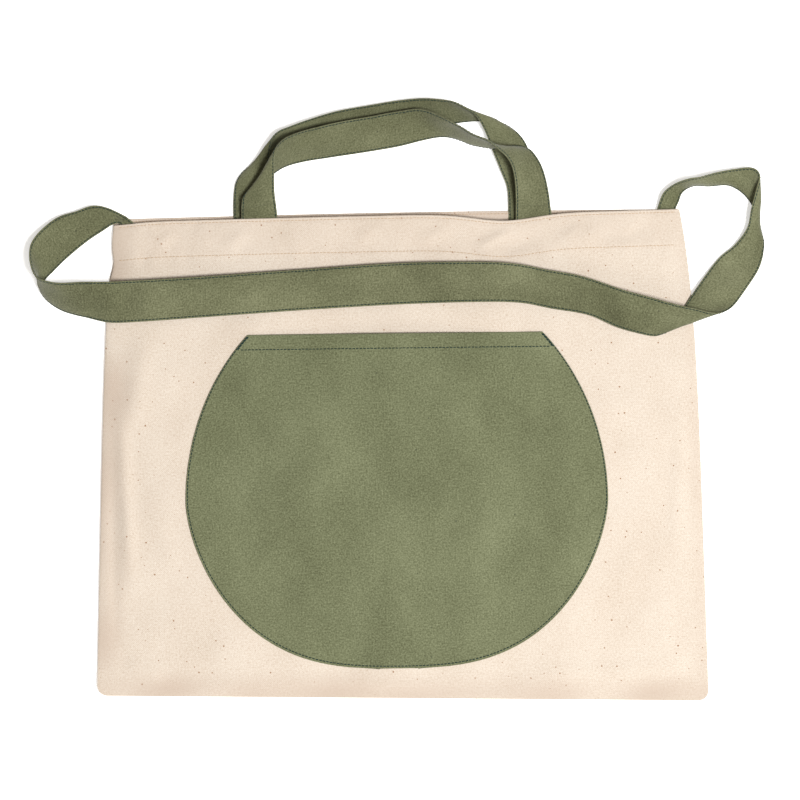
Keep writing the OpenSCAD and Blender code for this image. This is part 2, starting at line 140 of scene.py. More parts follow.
SHOULDER_STRAP = [
    (-0.212, 0.184, 0.0034, -0.226, 0.174, 0.0032),
    (-0.222, 0.194, 0.004, -0.231, 0.186, 0.0032),
    (-0.231, 0.2015, 0.005, -0.2375, 0.196, 0.0039),
    (-0.246, 0.2085, 0.008, -0.243, 0.1945, 0.005),
    (-0.259, 0.2105, 0.008, -0.251, 0.1895, 0.003),
    (-0.273, 0.206, 0.007, -0.261, 0.183, 0.003),
    (-0.288, 0.201, 0.008, -0.272, 0.1745, 0.003),
    (-0.301, 0.191, 0.011, -0.284, 0.164, 0.003),
    (-0.309, 0.18, 0.016, -0.293, 0.155, 0.0025),
    (-0.3105, 0.169, 0.021, -0.299, 0.149, 0.002),
    (-0.308, 0.157, 0.025, -0.302, 0.142, 0.0015),
    (-0.303, 0.1495, 0.028, -0.301, 0.136, 0.0012),
    (-0.296, 0.147, 0.028, -0.295, 0.129, 0.0012),
    (-0.284, 0.1455, 0.026, -0.283, 0.122, 0.0015),
    (-0.266, 0.1465, 0.022, -0.264, 0.117, 0.004),
    (-0.245, 0.1468, 0.018, -0.245, 0.1128, 0.0095),
    (-0.218, 0.148, 0.018, -0.218, 0.1135, 0.013),
    (-0.17, 0.1508, 0.019, -0.17, 0.1168, 0.0155),
    (-0.086, 0.1568, 0.019, -0.086, 0.1228, 0.017),
    (-0.002, 0.1623, 0.019, -0.002, 0.1278, 0.018),
    (0.064, 0.1633, 0.019, 0.064, 0.1298, 0.018),
    (0.095, 0.1615, 0.019, 0.098, 0.129, 0.0175),
    (0.12, 0.1567, 0.019, 0.124, 0.1242, 0.017),
    (0.15, 0.151, 0.019, 0.154, 0.119, 0.0165),
    (0.182, 0.1403, 0.02, 0.178, 0.1088, 0.0155),
    (0.208, 0.133, 0.022, 0.197, 0.1035, 0.0135),
    (0.228, 0.1275, 0.022, 0.208, 0.1015, 0.0115),
    (0.244, 0.124, 0.02, 0.214, 0.1025, 0.0108),
    (0.257, 0.121, 0.017, 0.22, 0.106, 0.0102),
    (0.267, 0.1215, 0.013, 0.228, 0.115, 0.0092),
    (0.276, 0.127, 0.009, 0.237, 0.13, 0.0082),
    (0.286, 0.14, 0.006, 0.25, 0.149, 0.0055),
    (0.296, 0.155, 0.005, 0.264, 0.167, 0.0025),
    (0.3, 0.165, 0.005, 0.277, 0.178, 0.004),
    (0.3015, 0.173, 0.005, 0.287, 0.192, 0.008),
    (0.302, 0.18, 0.004, 0.29, 0.207, 0.012),
    (0.3, 0.189, 0.0025, 0.294, 0.223, 0.015),
    (0.297, 0.2, 0.0015, 0.297, 0.236, 0.015),
    (0.292, 0.211, 0.0015, 0.291, 0.242, 0.013),
    (0.284, 0.221, 0.0015, 0.277, 0.241, 0.011),
    (0.272, 0.2275, 0.0015, 0.262, 0.238, 0.014),
    (0.256, 0.227, 0.002, 0.249, 0.234, 0.018),
    (0.243, 0.227, 0.003, 0.238, 0.2325, 0.018),
    (0.234, 0.222, 0.004, 0.226, 0.228, 0.013),
    (0.2305, 0.214, 0.004, 0.217, 0.221, 0.009),
    (0.228, 0.2085, 0.0031, 0.2125, 0.209, 0.005),
    (0.222, 0.191, 0.0034, 0.205, 0.191, 0.0036),
]

STRAP_T = 1.2 * MM
EDGE_STITCH = 1.5 * MM       # from a strap's edge to its stitches
SHOULDER_W = 0.035
ROUTE_STEPS = 8              # smoothed points to each span of a route
TAIL_DEPTHS = (27 * MM, 14 * MM, 5 * MM)   # rows of a handle's end inside the hem


def tail_rows(row):
    """The rows inside the hem that lead out to a handle's first row."""
    ax, ay, az, bx, by, bz = row
    return [(ax, ay - d, az, bx, by - d, bz) for d in TAIL_DEPTHS]


def smooth_route(rows):
    """The rows as a Catmull-Rom curve, ROUTE_STEPS points to a span."""
    p = np.array(rows, float)
    padded = np.vstack([p[:1], p, p[-1:]])
    t = (np.arange(ROUTE_STEPS) / ROUTE_STEPS)[:, None]
    out = []
    for i in range(len(p) - 1):
        a, b, c, d = padded[i:i + 4]
        out.append(0.5 * (2 * b + (c - a) * t + (2 * a - 5 * b + 4 * c - d) * t ** 2
                          + (3 * b - a - 3 * c + d) * t ** 3))
    return np.vstack(out + [p[-1:]])


# ---- Shape helpers.

WAVES = 8                    # sine waves added up in a swell
WAVE_SPREAD = (0.75, 1.7)    # their lengths, as shares of the length asked for


def unit(a):
    return a / np.maximum(np.linalg.norm(a, axis=-1, keepdims=True), TINY)


def step(x, low, high):
    """0 at low and 1 at high, with a smooth rise between them."""
    t = np.clip((x - low) / (high - low), 0, 1)
    return t * t * (3 - 2 * t)


def ridge(x, width):
    """1 at x = 0, falling smoothly to nothing over about the width."""
    return np.exp(-(x / width) ** 2)


def swell(x, y, seed, length):
    """Smooth rolling height of about -1 to 1 with features of the given length."""
    rng = np.random.default_rng(seed)
    total = 0.0
    for _ in range(WAVES):
        angle = rng.uniform(0, math.pi)
        k = 2 * math.pi / (length * rng.uniform(*WAVE_SPREAD))
        phase = rng.uniform(0, 2 * math.pi)
        total = total + np.sin(k * (x * math.cos(angle) + y * math.sin(angle)) + phase)
    return total / math.sqrt(WAVES)


def rolls(x, y, table):
    """Swells added up. Each row of the table is a height, a seed and a length."""
    return sum(height * swell(x, y, seed, length) for height, seed, length in table)


def crease(x, y, x0, y0, x1, y1, height, width):
    """A soft ridge or fold along a line that fades out at both its ends."""
    length = math.hypot(x1 - x0, y1 - y0)
    dx, dy = (x1 - x0) / length, (y1 - y0) / length
    along = ((x - x0) * dx + (y - y0) * dy) / length
    off = (x - x0) * dy - (y - y0) * dx
    fade = step(along, 0, 0.35) * (1 - step(along, 0.65, 1))
    return height * fade * ridge(off, width)


def folds(x, y, table, height):
    """Creases from a table: start and end in mm, share of the height, width in mm."""
    total = 0.0
    for x0, y0, x1, y1, share, width in table:
        ends = [MM * c for c in (x0, y0, x1, y1)]
        total = total + crease(x, y, *ends, height * share, width * MM)
    return total


# ---- Mesh helpers.

def make_object(name, points, faces, uv, material, wear_and_shade=None):
    """A smooth mesh object. uv is one flat place in metres to each point."""
    mesh = bpy.data.meshes.new(name)
    mesh.from_pydata(np.asarray(points).tolist(), [], [tuple(f) for f in faces])
    corner = np.zeros(len(mesh.loops), np.int32)
    mesh.loops.foreach_get("vertex_index", corner)
    layer = mesh.uv_layers.new(name="weave")
    layer.data.foreach_set("uv", np.asarray(uv, np.float32)[corner].ravel())
    # Each point's wear and painted shade, for the materials' wear attribute.
    values = np.zeros(len(points)) if wear_and_shade is None else np.asarray(wear_and_shade)
    attribute = mesh.attributes.new("wear_and_shade", "FLOAT", "POINT")
    attribute.data.foreach_set("value", values.astype(np.float32).ravel())
    mesh.polygons.foreach_set("use_smooth", np.ones(len(mesh.polygons), bool))
    mesh.materials.append(material)
    mesh.validate()
    obj = bpy.data.objects.new(name, mesh)
    bpy.context.scene.collection.objects.link(obj)
    return obj


def grid_faces(rows, cols, flip=False):
    faces = []
    for i in range(rows - 1):
        for j in range(cols - 1):
            a = i * cols + j
            face = (a, a + 1, a + cols + 1, a + cols)
            faces.append(face[::-1] if flip else face)
    return faces


def tube_faces(rings, sides, flip=False):
    """The faces round a closed tube, with a cap on each end."""
    faces = []
    for i in range(rings - 1):
        for k in range(sides):
            a, b = i * sides + k, i * sides + (k + 1) % sides
            faces.append((a, b, b + sides, a + sides))
    last = (rings - 1) * sides
    faces.append(tuple(range(sides))[::-1])
    faces.append(tuple(range(last, last + sides)))
    return [face[::-1] for face in faces] if flip else faces


def with_rims(line, rims):
    """A grid line with its ends repeated for the rims, and each place's rim number."""
    values = np.concatenate([np.full(rims, line[0]), line, np.full(rims, line[-1])])
    outward = np.arange(1, rims + 1)
    return values, np.concatenate([outward[::-1], np.zeros(len(line), int), outward])


def rim_offsets(rim, level):
    """How far a rim's rows drop and how far they tuck in, at each place of a grid."""
    drops, tucks = np.array([(0.0, 0.0)] + rim).T
    return drops[level], tucks[level]


def add_thickness(obj, thickness):
    """Makes cloth of a surface, which stays the outer face."""
    solid = obj.modifiers.new("thickness", "SOLIDIFY")
    solid.thickness = thickness
    solid.offset = -1
    return obj


# ---- Materials.

# Sizes of the patterns in the cloth, across and along it, in features to a metre.
CLOUD_SCALE = (18, 11)
FIBRE_SCALE = (700, 700)
WARP_SCALE = (1500, 130)
WEFT_SCALE = (130, 1500)
SLUB_SCALE = (260, 260)
NAP_SCALE = (330, 330)
FLECK_SCALE = (185, 185)
PLY_SCALE = (500, 500)
TWIST = 9000                 # turn of a thread's plies, in radians to a metre
SLUB = 1.4                   # how far uneven yarns push the weave about, in radians
NAP_DEPTH = 0.35 * MM
YARN_DEPTH = 0.14 * MM
PLY_DEPTH = 0.08 * MM
CLOTH_ROUGHNESS = (0.96, 0.82)    # where the yarns' pattern is dark, and light
THREAD_ROUGHNESS = (0.75, 0.5)    # between the plies, and on them
FLECK_SIZE = (0.04, 0.15)         # smallest and largest, as shares of their cells
FLECK_STRENGTH = (0.15, 0.8)
MIX_A, MIX_B, MIX_OUT = 6, 7, 2   # the Mix node's colour sockets


def linear(r, g, b):
    """An sRGB colour of 0 to 255 as linear RGBA."""
    def one(c):
        c /= 255
        return c / 12.92 if c <= 0.04045 else ((c + 0.055) / 1.055) ** 2.4
    return (one(r), one(g), one(b), 1)


class Nodes:
    """Short forms for building a material's nodes."""

    def __init__(self, name):
        self.material = bpy.data.materials.new(name)
        self.material.use_nodes = True
        self.tree = self.material.node_tree
        self.shader = self.tree.nodes["Principled BSDF"]

    def add(self, kind, inputs=(), **settings):
        node = self.tree.nodes.new(kind)
        for key, value in settings.items():
            setattr(node, key, value)
        for key, value in dict(inputs).items():
            self.set(node.inputs[key], value)
        return node

    def set(self, socket, value):
        if isinstance(value, bpy.types.NodeSocket):
            self.tree.links.new(value, socket)
        else:
            socket.default_value = value

    def finish(self, **values):
        """Sets or links the shader's own sockets: Base_Color for "Base Color"."""
        for key, value in values.items():
            self.set(self.shader.inputs[key.replace("_", " ")], value)
        return self.material

    def math(self, operation, a, b=0.0):
        return self.add("ShaderNodeMath", {0: a, 1: b}, operation=operation).outputs[0]

    def plus(self, a, b):
        return self.math("ADD", a, b)

    def times(self, a, b):
        return self.math("MULTIPLY", a, b)

    def about_zero(self, value, amount):
        """A value of 0 to 1 moved to lie about zero, times an amount."""
        return self.times(self.math("SUBTRACT", value, 0.5), amount)

    def above_zero(self, value):
        return self.math("MAXIMUM", value, 0.0)

    def mix(self, factor, a, b):
        node = self.add("ShaderNodeMix", {0: factor, MIX_A: a, MIX_B: b}, data_type="RGBA")
        return node.outputs[MIX_OUT]

    def place(self, scale_x, scale_y):
        """The flat cloth's own coordinates, in metres, scaled."""
        uv = self.add("ShaderNodeUVMap", uv_map="weave").outputs[0]
        scaled = self.add("ShaderNodeMapping", {"Vector": uv, "Scale": (scale_x, scale_y, 1)})
        return scaled.outputs[0]

    def noise(self, scale, detail, roughness=0.5):
        return self.add("ShaderNodeTexNoise", {
            "Vector": self.place(*scale), "Scale": 1.0, "Detail": detail,
            "Roughness": roughness}).outputs[0]

    def ramp(self, factor, stops):
        node = self.add("ShaderNodeValToRGB", {0: factor})
        elements = node.color_ramp.elements
        for k, (at, colour) in enumerate(stops):
            element = elements[k] if k < 2 else elements.new(at)
            element.position = at
            element.color = colour
        return node.outputs[0]

    def spread(self, value, low, high, to_low, to_high):
        """The value moved from one range to another."""
        inputs = dict(enumerate((value, low, high, to_low, to_high)))
        return self.add("ShaderNodeMapRange", inputs).outputs[0]

    def bump(self, height, strength, depth, **more):
        inputs = {"Height": height, "Strength": strength, "Distance": depth, **more}
        return self.add("ShaderNodeBump", inputs).outputs[0]


def weave_height(n, pitch):
    """Plain weave: yarns over and under each other, with uneven yarns."""
    turn = math.pi / pitch
    place = n.add("ShaderNodeSeparateXYZ", {0: n.place(turn, turn)})
    uneven = n.spread(n.noise(SLUB_SCALE, 3), 0, 1, -SLUB, SLUB)
    across = n.math("SINE", n.plus(place.outputs[0], uneven))
    along = n.math("SINE", n.plus(place.outputs[1], uneven))
    return n.times(across, along)


def yarn_pattern(n):
    """The mottle of fibres and single yarns, of about 0 to 1."""
    fine = n.noise(FIBRE_SCALE, 3, 0.7)
    warp = n.noise(WARP_SCALE, 2, 0.6)
    weft = n.noise(WEFT_SCALE, 2, 0.6)
    yarns = n.plus(n.times(warp, 0.5), n.times(weft, 0.5))
    return n.plus(n.times(fine, 0.7), n.times(yarns, 0.3))


def cloth_colour(n, shades, pattern, mottle, clouds):
    """The shades ruled by the yarns' pattern, and by broad clouds of lighter cloth."""
    cloudy = n.about_zero(n.noise(CLOUD_SCALE, 4, 0.55), clouds)
    factor = n.plus(n.plus(n.about_zero(pattern, mottle), cloudy), 0.5)
    dark, middle, light = shades
    return n.ramp(factor, [(0.0, dark), (1.0, light), (0.5, middle)])


def add_flecks(n, colour, flecks, share):
    """Bits of husk: a dot of uneven size and strength in a share of the cells."""
    cells = n.add("ShaderNodeTexVoronoi", {"Vector": n.place(*FLECK_SCALE), "Scale": 1.0})
    pick = n.add("ShaderNodeSeparateColor", {0: cells.outputs["Color"]})
    size = n.spread(pick.outputs[1], 0, 1, *FLECK_SIZE)
    spot = n.math("LESS_THAN", cells.outputs["Distance"], size)
    chosen = n.math("LESS_THAN", pick.outputs[0], share)
    faint = n.spread(pick.outputs[2], 0, 1, *FLECK_STRENGTH)
    strength = n.times(n.times(spot, chosen), faint)
    return n.mix(strength, colour, flecks)


def add_wear_and_shade(n, colour, wear_and_shade_colour, dark):
    """The mesh's wear attribute carries both real wear and painted shade. Above zero it brings
    the given colour: wear on the straps and pocket, painted shade on the panels. Below zero it
    brings the dark shade, as painted shade on the handles.
    """
    wear_and_shade = n.add("ShaderNodeAttribute", attribute_name="wear_and_shade").outputs["Fac"]
    colour = n.mix(n.above_zero(wear_and_shade), colour, wear_and_shade_colour)
    return n.mix(n.above_zero(n.times(wear_and_shade, -1.0)), colour, dark)


def fabric(name, shades, pitch, mottle, clouds, wear_and_shade_colour, sheen, flecks, fleck_share):
    """A woven cloth. shades are its dark, middle and light colours."""
    n = Nodes(name)
    pattern = yarn_pattern(n)
    colour = cloth_colour(n, shades, pattern, mottle, clouds)
    colour = add_flecks(n, colour, flecks, fleck_share)
    # Real wear, and painted shade: the dark shade below zero is painted shade.
    colour = add_wear_and_shade(n, colour, wear_and_shade_colour, shades[0])
    nap = n.bump(n.noise(NAP_SCALE, 4, 0.6), 0.35, NAP_DEPTH)
    yarns = n.bump(weave_height(n, pitch), 0.5, YARN_DEPTH, Normal=nap)
    roughness = n.spread(pattern, 0.3, 0.7, *CLOTH_ROUGHNESS)
    return n.finish(Base_Color=colour, Roughness=roughness, Specular_IOR_Level=0.18,
                    Sheen_Weight=sheen, Sheen_Roughness=0.55, Normal=yarns)


def thread(name, dark, light):
    """Sewing thread: two twisted plies."""
    n = Nodes(name)
    place = n.add("ShaderNodeSeparateXYZ", {0: n.place(1, 1)})
    turned = n.plus(n.times(place.outputs[1], TWIST), n.times(place.outputs[0], 2 * math.pi))
    twist = n.math("SINE", turned)
    factor = n.plus(n.times(twist, 0.3), n.noise(PLY_SCALE, 2))
    return n.finish(Base_Color=n.ramp(factor, [(0.15, dark), (0.85, light)]),
                    Roughness=n.spread(twist, -1, 1, *THREAD_ROUGHNESS),
                    Specular_IOR_Level=0.3,
                    Normal=n.bump(twist, 0.6, PLY_DEPTH))


# On the canvas the wear colour is only painted shade, which the panels put at their edges,
# bottom and hem.
CANVAS = fabric(
    "natural_canvas",
    (linear(168, 151, 132), linear(193, 181, 167), linear(209, 201, 189)),
    pitch=0.85 * MM, mottle=2.0, clouds=0.5, wear_and_shade_colour=linear(174, 157, 142), sheen=0.10,
    flecks=linear(128, 88, 54), fleck_share=0.8)
POCKET_CLOTH = fabric(
    "pocket_cloth",
    (linear(70, 72, 48), linear(97, 101, 74), linear(122, 126, 97)),
    pitch=0.7 * MM, mottle=3.2, clouds=0.8, wear_and_shade_colour=linear(118, 120, 92), sheen=0.15,
    flecks=linear(62, 66, 50), fleck_share=0.12)
STRAP_CLOTH = fabric(
    "strap_cloth",
    (linear(64, 65, 43), linear(92, 94, 68), linear(118, 120, 92)),
    pitch=0.7 * MM, mottle=3.2, clouds=1.4, wear_and_shade_colour=linear(116, 118, 90), sheen=0.15,
    flecks=linear(54, 56, 42), fleck_share=0.12)
GREEN_THREAD = thread("green_thread", linear(4, 26, 26), linear(16, 48, 44))
CANVAS_THREAD = thread("canvas_thread", linear(160, 136, 108), linear(200, 178, 152))


# ---- Shape of the body, as in the CAD. v runs 0 to 1 up the bag, u across it.

PANEL_LOW, PANEL_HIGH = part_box("back_panel")
FRONT_LOW, FRONT_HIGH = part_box("front_panel")
CANVAS_T = PANEL_HIGH.z
SEAM_Z = FRONT_LOW.z
PUFF = FRONT_HIGH.z - SEAM_Z - CANVAS_T
HALF_BOTTOM = (PANEL_HIGH.x - PANEL_LOW.x) / 2
MOUTH_W = 0.473
BODY_H = 0.402
HEM = 0.030
HEM_ROWS = {"upper": 2.5 * MM, "lower": HEM}   # depths of the hem's stitch rows
NARROWING = HALF_BOTTOM - MOUTH_W / 2
LEFT_SHARE, RIGHT_SHARE = 0.72, 1.28           # of the narrowing, on each side
PINCH, PINCH_V, PINCH_W = 3 * MM, 0.915, 0.03  # the left edge is drawn in by the hem
BOTTOM_UP, BOTTOM_SLOPE = 2 * MM, 4 * MM
MOUTH_DOWN, MOUTH_SLOPE, MOUTH_BOW = 1.5 * MM, 8.5 * MM, 1.5 * MM
BACK_LIP = 3 * MM            # how far the back's mouth edge shows past the front's
LEFT_DIP, LEFT_DIP_U = 2 * MM, 0.05
HANDLE_DIP, DIP_X, DIP_W = 6 * MM, 85 * MM, 36 * MM
CORNER_R = 9 * MM
UV_ROUNDS = 4
HEM_R = 1.02 * MM            # half the thickness of the turned hem
EVEN_LEAN, LEAN_POWER = 0.55, 6   # share of the lean that is even, and curve of the rest
FILL_SIDE, FILL_ARC, FILL_SKEW = 0.4, math.radians(130), 0.7   # curves of the fullness


def lean(v):
    return EVEN_LEAN * v + (1 - EVEN_LEAN) * v ** LEAN_POWER


def left_x(v):
    return -HALF_BOTTOM + LEFT_SHARE * NARROWING * lean(v) + PINCH * ridge(v - PINCH_V, PINCH_W)


def right_x(v):
    return HALF_BOTTOM - RIGHT_SHARE * NARROWING * lean(v)


def base_x(u):
    return left_x(1.0) + (right_x(1.0) - left_x(1.0)) * u


def bottom_y(u):
    return -BODY_H / 2 + BOTTOM_UP - BOTTOM_SLOPE * u


def back_y(u):
    return BODY_H / 2 - MOUTH_DOWN + MOUTH_SLOPE * u + MOUTH_BOW * np.sin(math.pi * u)


def front_y(u):
    lip = (BACK_LIP * (1 - u ** 6) + LEFT_DIP * ridge(u, LEFT_DIP_U)
           + HANDLE_DIP * ridge(base_x(u) - DIP_X, DIP_W))
    return back_y(u) - lip


def rise(u, v):
    """How full the bag is, from 0 at its seams to 1."""
    across = np.clip(4 * u * (1 - u), 0, None) ** FILL_SIDE
    return across * np.sin(FILL_ARC * np.clip(v, 0, 1) ** FILL_SKEW)


def panel_uv(x, y):
    """The u and v of a place on the front panel, found in a few rounds."""
    v = (y + BODY_H / 2) / BODY_H
    for _ in range(UV_ROUNDS):
        u = (x - left_x(v)) / (right_x(v) - left_x(v))
        v = (y - bottom_y(u)) / (front_y(u) - bottom_y(u))
    return u, v


HEM_STEP = 0.40 * MM         # how far the double cloth of the hem stands up
HEM_GROOVE, HEM_GROOVE_W = 0.30 * MM, 1.3 * MM
# Puckers by the hem's rows: height, seed, length, squeeze along Y, depth and reach.
HEM_PUCKERS = [(0.26 * MM, 11, 0.013, 0.15, HEM, 8 * MM),
               (0.18 * MM, 12, 0.011, 0.20, 3 * MM, 7 * MM)]
FRONT_ROLLS = [(0.8 * MM, 3, 0.130), (0.45 * MM, 5, 0.052)]
FRONT_FOLD = 3.2 * MM
# Start, end, share of the height, and width of each fold, as folds() takes them.
FRONT_FOLDS = [
    (58, 172, 92, 190, 0.7, 5), (70, 168, 118, 186, -0.5, 7),
    (10, 176, 44, 196, 0.35, 6), (-40, 176, -22, 196, 0.3, 6),
    (-150, 172, -128, 192, 0.35, 6), (-205, 176, -190, 190, 0.35, 5),
    (118, 176, 170, 190, 0.4, 8), (150, 178, 214, 196, -0.35, 8),
    (-238, 60, -226, -120, 0.9, 7), (-247, 20, -240, -170, -0.6, 5),
    (-214, 110, -228, 10, 0.5, 9), (238, 60, 226, -90, 0.6, 8),
    (-120, -186, 60, -190, 0.35, 6), (90, -182, 236, -176, 0.5, 8),
    (-236, -170, -196, -184, 0.4, 8), (205, -140, 240, -182, 0.4, 8),
    (-214, 190, -196, 172, 0.22, 4), (-176, 192, -160, 176, 0.18, 4),
    (-100, 190, -84, 174, 0.16, 4), (150, 196, 132, 182, 0.2, 4),
    (196, 200, 180, 184, 0.18, 4), (-228, 150, -206, 128, 0.3, 7),
    (-150, 112, -110, 108, 0.2, 6), (186, 60, 214, 20, 0.25, 8),
    (-206, -40, -190, -100, 0.22, 8), (196, -60, 180, -130, 0.2, 8),
]


def front_relief(x, y):
    """Height of the cloth's folds, hem and puckers over the panel's plain shape."""
    u, v = panel_uv(x, y)
    inside = step(np.minimum(u, 1 - u), 0.0, 0.05) * step(v, 0.0, 0.03)
    below = front_y(np.clip(u, 0, 1)) - y
    hem = HEM_STEP * (1 - step(below, HEM + 0.6 * MM, HEM + 2.2 * MM))
    grooves = HEM_GROOVE * sum(ridge(below - d, HEM_GROOVE_W) for d in HEM_ROWS.values())
    cloth = rolls(x, y, FRONT_ROLLS) + folds(x, y, FRONT_FOLDS, FRONT_FOLD)
    for height, seed, length, squeeze, depth, reach in HEM_PUCKERS:
        pucker = height * swell(x, squeeze * y, seed, length)
        cloth = cloth + pucker * ridge(below - depth, reach)
    return inside * cloth + hem - grooves


def front_top(x, y):
    """Height of the front panel's outer face."""
    u, v = panel_uv(x, y)
    return SEAM_Z + CANVAS_T + PUFF * rise(np.clip(u, 0, 1), v) + front_relief(x, y)


def back_surface(x, y):
    """The back panel's outer face lies flat on the floor."""
    return 0 * x


def round_corners(x, y, u, v):
    """Draws the grid's two bottom corners in to arcs."""
    from_side = np.where(u < 0.5, x - left_x(v), right_x(v) - x)
    from_bottom = y - bottom_y(u)
    dx = np.clip(CORNER_R - from_side, 0, CORNER_R)
    dy = np.clip(CORNER_R - from_bottom, 0, CORNER_R)
    shrink = 1 - np.maximum(dx, dy) / np.maximum(np.hypot(dx, dy), TINY)
    corner = (dx > 0) & (dy > 0)
    shift_x = np.where(corner, dx * shrink, 0)
    shift_y = np.where(corner, dy * shrink, 0)
    return x + np.where(u < 0.5, shift_x, -shift_x), y + shift_y


def panel_painted_shade(x, y, u, v, turn, level):
    """Painted shade of a panel: darker at its rolled edges, along the bottom and sides where the
    cloth curves down over the seam allowances, and on the hem, most on its turned layer in the
    mouth.
    """
    patches = swell(x, y, 9, 0.06)
    rolled = 0.3 * (level > 0)
    bottom = (0.5 + 0.2 * patches) * (1 - step(y - bottom_y(u), 4 * MM, 26 * MM))
    left = (0.3 + 0.3 * patches) * (1 - step(x - left_x(v), 4 * MM, 34 * MM))
    right = 0.15 * (1 - step(right_x(v) - x, 3 * MM, 14 * MM))
    hem = (0.15 * step(v, 1 - (HEM + 2 * MM) / BODY_H, 1 - HEM / BODY_H)
           + 0.4 * step(turn, math.pi / 2, math.pi))
    return np.maximum.reduce([rolled, bottom, left, right, hem])


# Rows of a rolled edge: how far each drops below the face and how far it tucks in.
PANEL_RIM = [(0.35 * MM, 0.0), (0.9 * MM, 0.0), (1.45 * MM, 0.25 * MM), (1.85 * MM, 0.9 * MM)]
HEM_TURNS = np.linspace(0, math.pi, 7)[1:]                   # round the fold of the hem
HEM_DEPTHS = np.array([3, 8, 14, 20, 25, 27.6, 28.2]) * MM   # and down its inner layer
HEM_INSET = 0.013            # the inner layer is narrower by this share at each side


def panel_cloth(name, surface, top_y, side, columns, body_rows):
    """One panel: its outer face, edges rolled into the seams, and a turned mouth hem.

    surface(x, y) is the outer face's height and side is 1 where it faces up.
    """
    rims = len(PANEL_RIM)
    outer = rims + len(body_rows)
    inner = len(HEM_TURNS) + len(HEM_DEPTHS)
    across = np.arange(columns + 1) / columns
    u_line, rim_u = with_rims(0.5 - 0.5 * np.cos(np.pi * across), rims)
    v_line = np.concatenate([np.zeros(rims), body_rows, np.ones(inner)])
    rim_v = np.clip(rims - np.arange(outer + inner), 0, None)
    turns = np.concatenate([np.zeros(outer), HEM_TURNS, np.full(len(HEM_DEPTHS), math.pi)])
    depths = np.concatenate([np.zeros(outer + len(HEM_TURNS)), HEM_DEPTHS])
    u, v = np.meshgrid(u_line, v_line)
    edge_u, edge_v = np.meshgrid(rim_u, rim_v)
    turn = turns[:, None] + 0 * u
    depth = depths[:, None] + 0 * u
    inset = HEM_INSET * step(turn, 0, math.pi)
    x = left_x(v) + (right_x(v) - left_x(v)) * (inset + (1 - 2 * inset) * u)
    crown = top_y(u) - HEM_R
    y = bottom_y(u) + (crown - bottom_y(u)) * v - depth
    x, y = round_corners(x, y, u, v)
    z = surface(x, y) - side * HEM_R * (1 - np.cos(turn))
    y = y + HEM_R * np.sin(turn)
    level = np.maximum(edge_u, edge_v)
    drops, tucks = rim_offsets(PANEL_RIM, level)
    z = z - side * drops * (1 - turn / math.pi)
    x = x + tucks * np.where(edge_u > 0, np.sign(0.5 - u), 0)
    y = y + tucks * (edge_v > 0)
    points = np.stack([x, y, z], -1).reshape(-1, 3)
    flat_y = y + depth * 2 + turn * HEM_R
    flat = np.stack([x + drops * np.sign(u - 0.5), flat_y], -1).reshape(-1, 2)
    # The panel's painted shade, carried in the wear attribute.
    wear_and_shade = panel_painted_shade(x, y, u, v, turn, level)
    obj = make_object(name, points, grid_faces(*u.shape, flip=side < 0), flat, CANVAS, wear_and_shade)
    return add_thickness(obj, CANVAS_T)


def front_rows():
    """The front panel's rows: closer at the bottom seam, and closest in the hem."""
    body_from, hem_from = 0.07, 0.905
    low = 0.06 * (np.arange(13) / 12) ** 2
    middle = np.arange(body_from, hem_from, 0.0098)
    high = np.arange(hem_from, 1.0, 0.0022)
    return np.concatenate([low, middle, high, [1.0]])


front_cloth = panel_cloth("front_cloth", front_top, front_y, 1, 180, front_rows())
back_cloth = panel_cloth("back_cloth", back_surface, back_y, -1, 60, np.linspace(0, 1, 50))


# ---- Stitches.

STITCH_PITCH = 3.0 * MM
STITCH_SHARE = 0.92          # of the pitch that shows as thread
STITCH_SIDES = 6
STITCH_FLAT = 0.8            # height of a stitch's section as a share of its width
STITCH_LIFT = 2.2            # what a ring's lift of 1 raises it, in radii
# Rings of one stitch: place along it, share of the radius, and lift.
STITCH_RINGS = [(-0.5, 0.25, -0.30), (-0.36, 0.85, 0.05), (0.0, 1.0, 0.22),
                (0.36, 0.85, 0.05), (0.5, 0.25, -0.30)]
PROBE = 0.5 * MM             # how far apart heights are read for a surface's slope
CANVAS_THREAD_R = 0.30 * MM
POCKET_THREAD_R = 0.44 * MM
POCKET_HEM_THREAD_R = 0.40 * MM
TACK_THREAD_R = 0.42 * MM
STRAP_THREAD_R = 0.40 * MM


def stitch_row(points, normals, radius):
    """Where one row's stitches lie: centres, directions, normals, lengths and radii."""
    points = np.asarray(points)
    along = np.concatenate([[0], np.cumsum(np.linalg.norm(np.diff(points, axis=0), axis=1))])
    count = max(1, int(round(along[-1] / STITCH_PITCH)))
    gap = along[-1] / count
    middle = (np.arange(count) + 0.5) * gap

    def at(values, where):
        return np.stack([np.interp(where, along, values[:, k]) for k in range(3)], 1)

    reach = STITCH_SHARE * gap / 2
    start, end = at(points, middle - reach), at(points, middle + reach)
    direction = unit(end - start)
    normal = at(np.asarray(normals), middle)
    normal = unit(normal - direction * (normal * direction).sum(1, keepdims=True))
    length = np.linalg.norm(end - start, axis=1)
    return (start + end) / 2, direction, normal, length, np.full(count, radius)


